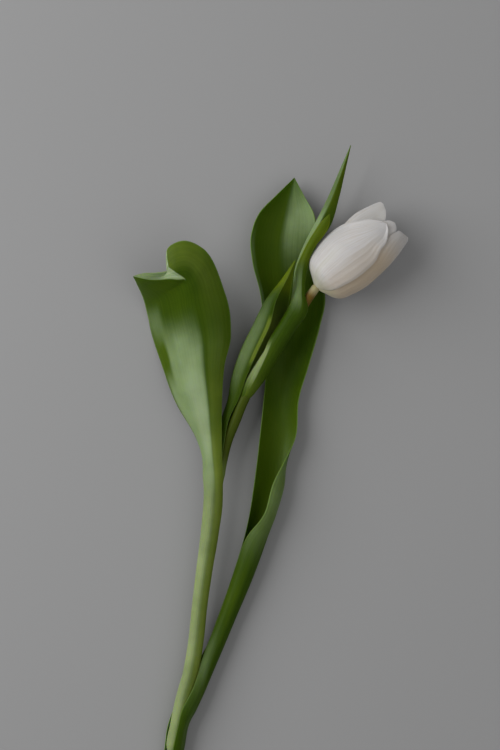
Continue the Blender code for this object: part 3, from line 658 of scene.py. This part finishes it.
# %% The wrapper
class Value:
    """One output of a node. Arithmetic on it adds Math nodes to its tree."""

    def __init__(self, tree, socket):
        self.tree, self.socket = tree, socket

    def node(self, kind, settings=None, values=None, output=0):
        """A node of this type, with its settings first and then its inputs' values or links."""
        return add_node(self.tree, kind, settings, values, output)

    def math(self, operation, *values):
        return self.node("ShaderNodeMath", {"operation": operation}, dict(enumerate(values)))

    def __add__(self, other):
        return self.math("ADD", self, other)

    __radd__ = __add__

    def __sub__(self, other):
        return self.math("SUBTRACT", self, other)

    def __rsub__(self, other):
        return self.math("SUBTRACT", other, self)

    def __mul__(self, other):
        return self.math("MULTIPLY", self, other)

    __rmul__ = __mul__

    def __truediv__(self, other):
        return self.math("DIVIDE", self, other)

    def __rtruediv__(self, other):
        return self.math("DIVIDE", other, self)

    def __abs__(self):
        return self.math("ABSOLUTE", self)

    def cosine(self):
        return self.math("COSINE", self)

    def step(self, low, high):
        """0 below low, 1 above high, with a soft cubic between them."""
        return self.node("ShaderNodeMapRange", {"interpolation_type": "SMOOTHSTEP"},
                         {"Value": self, "From Min": low, "From Max": high})


def add_node(tree, kind, settings=None, values=None, output=0):
    """Adds a node, sets its settings, then each input by name or number, from a number, a colour or a
    Value, and returns one of its outputs as a Value."""
    node = tree.nodes.new(kind)
    for key, setting in (settings or {}).items():
        setattr(node, key, setting)
    for key, value in (values or {}).items():
        if isinstance(value, Value):
            tree.links.new(value.socket, node.inputs[key])
        else:
            node.inputs[key].default_value = value
    return Value(tree, node.outputs[output])


def mix(factor, first, second):
    """The first colour where the factor is 0 and the second where it is 1."""
    tree = next(v.tree for v in (factor, first, second) if isinstance(v, Value))
    first, second = ((*c, 1) if isinstance(c, tuple) else c for c in (first, second))
    return add_node(tree, "ShaderNodeMix", {"data_type": "RGBA"}, {0: factor, 6: first, 7: second}, 2)


print("shader wrapper ready")

# %% [markdown]
# ## Finishes
# Leaves, stem and petals all let some light in and scatter it, so the Principled shader gets a little
# subsurface. Only colour, roughness and the bump change over a surface. Lengths in the noise are on
# Object coordinates, in metres, and the veins follow the UV map: U runs across, V along the piece.


# %% A material and its places
SCATTER_DEPTH = 0.002            # metres


def new_material(name, roughness, subsurface, radius, specular=0.5, sheen=0.0):
    """A Principled material whose plain numbers sit on the shader itself."""
    material = bpy.data.materials.new(name)
    material.use_nodes = True
    shader = material.node_tree.nodes["Principled BSDF"]
    shader.inputs["Roughness"].default_value = roughness
    shader.inputs["Subsurface Weight"].default_value = subsurface
    shader.inputs["Subsurface Radius"].default_value = radius
    shader.inputs["Subsurface Scale"].default_value = SCATTER_DEPTH
    shader.inputs["Specular IOR Level"].default_value = specular
    shader.inputs["Sheen Weight"].default_value = sheen
    shader.inputs["Sheen Roughness"].default_value = 0.6
    return material, material.node_tree, shader


def places(tree):
    """Across the piece from -1 to 1, along it from 0 to 1, and the Object coordinates."""
    uv = add_node(tree, "ShaderNodeUVMap", {"uv_map": UV_MAP})
    u = add_node(tree, "ShaderNodeSeparateXYZ", None, {0: uv}, 0)
    v = add_node(tree, "ShaderNodeSeparateXYZ", None, {0: uv}, 1)
    here = add_node(tree, "ShaderNodeTexCoord", None, None, 3)
    return u * 2 - 1, v, here


def noise(here, scale, detail=3.0, roughness=0.5):
    """Cloudy noise about 0.5, with its size set by the scale in cycles a metre."""
    return here.node("ShaderNodeTexNoise", None,
                     {"Vector": here, "Scale": scale, "Detail": detail, "Roughness": roughness})


def streaks(across, along, lines, stretch, detail=2.0):
    """Noise stretched along the piece: many lines across it, and few changes along it."""
    point = across.node("ShaderNodeCombineXYZ", None, {0: across * lines, 1: along * stretch, 2: 0.0})
    return across.node("ShaderNodeTexNoise", None, {"Vector": point, "Scale": 1.0, "Detail": detail})


def link(tree, value, shader, socket):
    tree.links.new(value.socket, shader.inputs[socket])


def bump(tree, height, distance, shader, strength=1.0):
    """Feeds the height, as a bump of that depth in metres, to the shader's normal."""
    values = {"Height": height, "Distance": distance, "Strength": strength}
    link(tree, add_node(tree, "ShaderNodeBump", None, values), shader, "Normal")


print("material helpers ready")

# %% Leaf finish
LEAF_DEEP = (0.030, 0.068, 0.0008)
LEAF_FRESH = (0.062, 0.110, 0.003)
# Greyish bloom: partly the leaf's own wax, partly painted sheen where a face turns to the lamp.
LEAF_BLOOM_AND_SHEEN = (0.250, 0.345, 0.155)
# Pale margin: partly the leaf's own edge, partly painted rim light.
LEAF_EDGE_AND_RIM_LIGHT = (0.180, 0.280, 0.060)
LEAF_LIME = (0.140, 0.190, 0.004)
# Pale inner face: partly the leaf's own, partly painted light.
LEAF_PALE = (0.400, 0.480, 0.300)
# A light band painted where the lamp falls on a sheath.
LEAF_PAINTED_LIGHT_BAND = (0.250, 0.320, 0.130)
# Paler sheath green, painted also as light on faces turned to the lamp.
LEAF_SHEATH_AND_LIGHT = (0.340, 0.420, 0.185)
# Olive: painted shade on faces turned from the lamp, and painted fill light in deep shade.
LEAF_OLIVE = (0.180, 0.245, 0.030)
RIM_START = 0.917               # where the folded lobe's left side turns over, along leaf_left


def window(across, along, near, far, left, right, soft=0.12):
    """1 inside a stretch of the leaf and 0 outside it, between two places along and two across."""
    half = soft / 2
    ends = along.step(near - half, near + half) * (1 - along.step(far - half, far + half))
    sides = across.step(left - soft, left + soft) * (1 - across.step(right - soft, right + soft))
    return ends * sides


def leaf_material(name, veins, coats, folded=False):
    """Deep green, with parallel veins, a thin margin painted paler (partly the leaf's own pale edge and
    partly painted rim light), and coats of other tints painted in windows. Most coats are painted light
    and shade: a waxy, greyish bloom with painted sheen where a face turns to the lamp, darker greens as
    painted shade where it turns away, and lighter greens as painted fill light in deep shade; lime also
    tints the tips. A coat is its tint, its share, and its window's places, and noise breaks it into
    patches. At a folded tip the inner face shows pale beyond a line across the half, which moves out as
    the square of the distance from the fold; that pale face and the pale turned rim are partly the
    leaf's own paler inner face and partly painted light."""
    material, tree, shader = new_material(
        name, roughness=0.42, subsurface=0.3, radius=(0.6, 1.0, 0.05), specular=0.07)
    across, along, here = places(tree)
    cloud = noise(here, 28, 4, 0.55)
    vein = streaks(across, along, veins, 1.5)
    colour = mix(cloud.step(0.35, 0.7) * 0.55 + vein.step(0.35, 0.65) * 0.3, LEAF_DEEP, LEAF_FRESH)
    patchy = (noise(here, 60, 3).step(0.25, 0.75) * 0.3 + 0.7) * (vein * 0.3 + 0.85)
    # Each coat paints its tint in its window: most are painted light, painted shade or painted fill
    # light.
    for tint, share, *place in coats:
        colour = mix((window(across, along, *place) * patchy * share).step(0, 1), colour, tint)
    if folded:
        # The pale inner face and the pale turned rim: partly the leaf's own paler face, partly painted
        # light.
        opened = (along - FOLD_START) / FOLD_LENGTH
        shown = across.step(0.0, 0.04) * (opened * abs(opened) - across).step(-0.01, 0.03)
        turned = (along - across * (1 - across) * 0.03).step(RIM_START, RIM_START + 0.003)
        shown = shown.math("MAXIMUM", shown, across.step(0.3, 0.4) * turned)
        inner = mix(streaks(across, along, 8, 3).step(0.3, 0.7), LEAF_PALE, LEAF_BLOOM_AND_SHEEN)
        colour = mix(shown, colour, mix(along.step(0.93, 0.97) * 0.45, inner, LEAF_FRESH))
    # Paler margins: partly the leaf's own edge, partly painted rim light.
    colour = mix(abs(across).step(0.955, 0.995) * 0.55, colour, LEAF_EDGE_AND_RIM_LIGHT)
    link(tree, colour, shader, "Base Color")
    link(tree, 0.42 + cloud * 0.12, shader, "Roughness")
    fine = (across * (veins * 1.7)).cosine() * 0.5 + vein
    bump(tree, fine, 0.00006, shader, 0.5)
    return material


# A coat: tint, share, from and to along the leaf, from and to across it, and its borders' softness.
finishes = {
    # Painted light and shade: sheath tint and bloom with sheen on the lit left half; olive on the
    # shaded right.
    "leaf_left": leaf_material("leaf_left_waxy_green", 34, [
        (LEAF_SHEATH_AND_LIGHT, 0.85, -0.1, 0.55, -1.2, 0.1, 0.3), (LEAF_OLIVE, 0.9, -0.1, 0.62, 0.1, 1.2, 0.2),
        (LEAF_FRESH, 0.7, 0.56, 0.84, 0.2, 1.2, 0.2),
        (LEAF_BLOOM_AND_SHEEN, 0.95, 0.50, 0.785, -0.95, 0.10, 0.12),
        (LEAF_PALE, 0.55, 0.52, 0.72, -0.45, 0.05, 0.2),
        (LEAF_FRESH, 0.4, 0.72, 0.80, -1.2, -0.45, 0.08),
        (LEAF_FRESH, 1.3, 0.69, 0.772, -1.2, -0.68, 0.08), (LEAF_OLIVE, 0.5, 0.60, 0.76, 0.2, 1.2, 0.2),
        (LEAF_SHEATH_AND_LIGHT, 0.2, -0.1, 0.66, 0.0, 0.45, 0.2), (LEAF_BLOOM_AND_SHEEN, 0.18, 0.70, 0.80, 0.25, 0.75, 0.1),
        (LEAF_OLIVE, 0.95, 0.86, 0.93, 0.35, 1.2, 0.2),
        (LEAF_BLOOM_AND_SHEEN, 0.45, 0.775, 0.87, -1.2, -0.62, 0.08),
        (LEAF_FRESH, 0.6, 0.86, 1.1, -1.2, -0.1, 0.2)],
        folded=True),
    # Painted light: bloom with sheen where faces turn to the lamp; fresh and olive greens lighten the
    # trough.
    "leaf_back": leaf_material("leaf_back_waxy_green", 30, [
        (LEAF_BLOOM_AND_SHEEN, 0.85, 0.87, 0.985, 0.12, 1.2, 0.16), (LEAF_DEEP, 0.9, 0.95, 1.1, -0.3, 0.34, 0.12),
        (LEAF_BLOOM_AND_SHEEN, 1.0, 0.76, 0.90, -1.2, -0.80, 0.08), (LEAF_OLIVE, 0.25, 0.40, 0.60, -1.2, 0.0),
        (LEAF_FRESH, 0.75, 0.78, 1.1, -1.2, 0.1), (LEAF_FRESH, 0.9, 0.40, 0.60, -1.2, 1.2),
        (LEAF_BLOOM_AND_SHEEN, 0.45, 0.38, 0.56, 0.3, 1.2),
        (LEAF_BLOOM_AND_SHEEN, 0.8, -0.1, 0.12, -1.2, -0.75), (LEAF_BLOOM_AND_SHEEN, 0.25, 0.02, 0.14, -0.1, 0.7),
        (LEAF_BLOOM_AND_SHEEN, 0.4, 0.13, 0.24, 0.62, 1.2), (LEAF_FRESH, 0.7, 0.24, 0.36, 0.5, 1.2)]),
    # Painted light: bloom with sheen on the lit near half; olive and fresh green lighten the fold's
    # deep shade.
    "leaf_middle": leaf_material("leaf_middle_waxy_green", 26, [
        (LEAF_BLOOM_AND_SHEEN, 0.5, 0.40, 0.80, 0.05, 0.75, 0.2), (LEAF_OLIVE, 1.0, 0.36, 0.78, -1.2, -0.03, 0.1),
        (LEAF_OLIVE, 1.0, 0.50, 0.72, 0.80, 1.2, 0.06), (LEAF_FRESH, 0.8, 0.72, 0.86, -1.2, -0.2),
        (LEAF_BLOOM_AND_SHEEN, 0.2, -0.1, 0.2, -1.2, 1.2), (LEAF_LIME, 0.75, 0.84, 1.2, -1.2, 1.2, 0.1)]),
    # Painted light: the sheath tint, and bloom with sheen strongest on the left half, which faces the
    # lamp.
    "leaf_tall": leaf_material("leaf_tall_waxy_green", 18, [
        (LEAF_SHEATH_AND_LIGHT, 0.8, 0.06, 0.26, -1.2, 1.2), (LEAF_BLOOM_AND_SHEEN, 0.95, 0.36, 0.76, -1.2, -0.1),
        (LEAF_BLOOM_AND_SHEEN, 0.6, 0.36, 0.56, -0.1, 1.2), (LEAF_BLOOM_AND_SHEEN, 0.6, 0.74, 1.2, -1.2, 0.0),
        (LEAF_LIME, 0.5, 0.75, 1.2, -0.1, 1.2)]),
    # Painted light: bloom with sheen, lime brightened along the lit margins, and a light band on the
    # sheath.
    "leaf_small": leaf_material("leaf_small_waxy_green", 16, [
        (LEAF_BLOOM_AND_SHEEN, 0.5, 0.50, 0.72, -1.2, 0.3), (LEAF_LIME, 0.5, 0.70, 1.2, -1.2, 1.2),
        (LEAF_LIME, 1.0, 0.74, 1.2, -1.2, -0.75, 0.08), (LEAF_LIME, 0.8, 0.80, 1.2, 0.72, 1.2, 0.08),
        (LEAF_OLIVE, 0.35, -0.1, 0.11, -1.2, 1.2, 0.1),
        (LEAF_PAINTED_LIGHT_BAND, 1.0, 0.07, 0.28, -1.2, -0.45, 0.12)]),
}
print("leaf finishes:", len(finishes))


# %% Stem finish
STEM_DARK = (0.140, 0.205, 0.030)
STEM_LIGHT = (0.235, 0.310, 0.110)
STEM_OLIVE = (0.056, 0.082, 0.002)
STEM_BROWN = (0.165, 0.086, 0.012)
STEM_CREAM = (0.40, 0.36, 0.19)
STEM_CUT = (0.40, 0.45, 0.25)


def stem_material():
    """Light green, a little paler at the cut end, with faint streaks along it and a deep olive stretch
    above the large leaf. The neck under the flower turns brownish pink, and then cream."""
    material, tree, shader = new_material(
        "stem_smooth_green", roughness=0.42, subsurface=0.15, radius=(0.6, 1.0, 0.3), specular=0.08)
    turn, along, here = places(tree)
    streak = streaks(turn, along, 9, 14)
    cloud = noise(here, 45, 3)
    colour = mix(streak.step(0.3, 0.7) * 0.5 + cloud.step(0.3, 0.7) * 0.3, STEM_DARK, STEM_LIGHT)
    stretch = along.step(0.62, 0.67) * (1 - along.step(0.77, 0.83))
    colour = mix(stretch * 0.95, colour, STEM_OLIVE)
    neck = along.step(0.925, 0.955)
    colour = mix(neck * (0.75 + streak * 0.3), colour, STEM_BROWN)
    colour = mix(along.step(0.972, 0.988), colour, STEM_CREAM)
    colour = mix((1 - along.step(0.0, 0.008)) * 0.7, colour, STEM_CUT)
    link(tree, colour, shader, "Base Color")
    link(tree, 0.36 + cloud * 0.12, shader, "Roughness")
    bump(tree, streak, 0.00005, shader, 0.5)
    return material


finishes["stem"] = stem_material()
print("stem finish:", finishes["stem"].name)


# %% Petal finish
PETAL_WHITE = (0.67, 0.647, 0.64)
# Veins and blotches, which on petals in shade are painted shade as well.
PETAL_VEIN_AND_SHADE = (0.56, 0.515, 0.46)
PETAL_GREEN = (0.46, 0.48, 0.25)
# Painted warm shade, where light comes through the petals into their shaded parts.
PETAL_WARM_PAINTED_SHADE = (0.62, 0.49, 0.35)
# Painted shade.
PETAL_PAINTED_SHADE = (0.40, 0.39, 0.36)


def petal_material(name, green, blush_and_shade, warm_shade, painted_shade):
    """White, with fine veins in a warmer white that fan out with the petal, cloudy blotches in that
    white, and green at the base and along the midrib. Large blotch shares are painted shade on petals
    in shade.
    The warm tint is painted warm shade, where light comes through the petal into its shaded part; its
    share and the stretch of the width that it tints are given together. The last argument is the share
    of a dimmer painted shade towards the right margin, over which a neighbour lies."""
    material, tree, shader = new_material(
        name, roughness=0.48, subsurface=0.35, radius=(1.0, 0.85, 0.7), specular=0.35, sheen=0.2)
    across, along, here = places(tree)
    vein = streaks(across, along, 22, 2.2, 4)
    cloud = noise(here, 70, 3)
    # Veins and blotches in the warmer white; the blotches are painted shade on the petals in shade.
    colour = mix(vein.step(0.42, 0.68) * 0.6 + cloud * blush_and_shade, PETAL_WHITE, PETAL_VEIN_AND_SHADE)
    # Painted warm shade, as light comes through the petal into its shaded part.
    colour = mix(window(across, along, -0.3, 0.80, *warm_shade[1:], 0.35) * warm_shade[0], colour, PETAL_WARM_PAINTED_SHADE)
    # Painted shade towards the right margin, over which a neighbour lies.
    colour = mix(across.step(-0.5, 0.6) * painted_shade, colour, PETAL_PAINTED_SHADE)
    rib = (1 - abs(across).step(0.0, 0.22)) * (1 - along.step(0.15, 0.75)) * 0.35
    colour = mix(rib * green, colour, PETAL_GREEN)
    colour = mix((1 - along.step(0.02, 0.26)) * green, colour, PETAL_GREEN)
    link(tree, colour, shader, "Base Color")
    link(tree, 0.45 + vein * 0.1, shader, "Roughness")
    bump(tree, vein, 0.00008, shader, 0.6)
    return material


PETAL_LOOKS = {               # name, green, blush and painted shade, painted warm shade's share and its stretch across, painted shade
    "petal_outer_front": ("petal_front_white", 0.5, 0.15, (0.5, 0.5, 1.5), 0.0),
    # The right petal lies in shade: its large blotch share and warm tint are painted shade.
    "petal_outer_right": ("petal_right_white", 0.6, 0.5, (1.0, -1.5, 0.2), 0.0),
    "petal_outer_under": ("petal_under_white", 0.6, 0.25, (0.3, -1.5, 1.5), 0.0),
    "petal_inner_left": ("petal_inner_white", 0.9, 0.2, (0.0, 0.0, 1.0), 0.65),
    "petal_inner_front": ("petal_inner_cream", 0.9, 0.3, (0.5, -1.5, 1.5), 0.0),
}
for name, look in PETAL_LOOKS.items():
    finishes[name] = petal_material(*look)
finishes["petal_inner_under"] = finishes["petal_inner_left"]
print("petal finishes:", len(PETAL_LOOKS))


# %% Pistil and stamen finishes
def plain_material(name, light, dark, roughness, scale):
    """Two near colours, mixed by noise."""
    material, tree, shader = new_material(name, roughness, subsurface=0.15, radius=(1.0, 0.8, 0.4))
    _, _, here = places(tree)
    link(tree, mix(noise(here, scale), dark, light), shader, "Base Color")
    return material


PLAIN_LOOKS = {               # name, light, dark, roughness, cycles of noise a metre
    "ovary": ("ovary_pale_green", (0.42, 0.50, 0.18), (0.25, 0.36, 0.08), 0.4, 200),
    "stigma": ("stigma_cream", (0.70, 0.66, 0.35), (0.60, 0.52, 0.22), 0.7, 400),
    "filaments": ("filament_cream", (0.62, 0.62, 0.42), (0.45, 0.48, 0.22), 0.5, 300),
    "anthers": ("anther_yellow", (0.60, 0.46, 0.10), (0.42, 0.30, 0.05), 0.8, 900),
}
for name, look in PLAIN_LOOKS.items():
    finishes[name] = plain_material(*look)
print("finishes:", len(finishes))

# %% [markdown]
# ## Each piece stands for its solid
# A fine piece rides on the tulip's one body, stands for a solid of the frame, which it hides, and gets
# its own finish in its one material slot.

# %% Hand the pieces over
NODE_OF = {name: "flower_centre" for name in inside}
for name, piece in made.items():
    node = NODE_OF.get(name, name)
    piece.data.materials.clear()
    piece.data.materials.append(finishes[name])
    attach(piece, "root")
    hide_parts(node)
print("pieces:", len(made))

# %% [markdown]
# ## Table, light and camera
# The tulip lies down, so the camera looks straight down, with the top of the picture towards +Y. One
# large soft light from the upper left gives the shading. A weaker one from the right and the world fill
# the shadows.

# %% Table
REACH = 3                        # metres from the middle to each side
table = bpy.data.meshes.new("table")
table.from_pydata([(-REACH, -REACH, 0), (REACH, -REACH, 0), (REACH, REACH, 0), (-REACH, REACH, 0)], [],
                  [(0, 1, 2, 3)])
floor = add_object("table", table)
pale = bpy.data.materials.new("pale_table")
pale.use_nodes = True
matt = pale.node_tree.nodes["Principled BSDF"]
matt.inputs["Base Color"].default_value = (0.37, 0.37, 0.372, 1)
matt.inputs["Roughness"].default_value = 0.9
table.materials.append(pale)
floor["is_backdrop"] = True
print("table:", floor.name)


# %% Light
def soft_light(name, place, size, power):
    """A square area light that faces the origin. Its size is in metres, its power in watts."""
    lamp = bpy.data.lights.new(name, "AREA")
    lamp.size, lamp.energy = size, power
    holder = add_object(name, lamp)
    holder.location = place
    holder.rotation_euler = (-Vector(place)).to_track_quat("-Z", "Y").to_euler()
    print("light:", name, "of", power, "W")


soft_light("window", (-0.95, 0.42, 0.75), 1.2, 13)
soft_light("bounce", (0.7, -0.3, 1.4), 1.8, 5)
world = bpy.data.worlds.new("room")
world.use_nodes = True
sky = world.node_tree.nodes["Background"]
sky.inputs["Color"].default_value = (1.0, 1.0, 1.0, 1)
sky.inputs["Strength"].default_value = 0.2
bpy.context.scene.world = world
bpy.context.scene.view_settings.view_transform = "Standard"

# %% Camera
camera = bpy.data.cameras.new("camera")
camera.lens, camera.sensor_width = 85, 36
camera.clip_end = 10
viewer = add_object("camera", camera)
viewer.location = (-0.011, 0.0517, 0.992)
bpy.context.scene.camera = viewer
print("camera:", camera.lens, "mm lens")

# %% Print the sizes and finish
full_box = [list(corner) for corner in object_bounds()]
for label, box in (("solids", cad_box), ("pieces", full_box)):
    print(label, [[round(c / MM, 2) for c in corner] for corner in box])
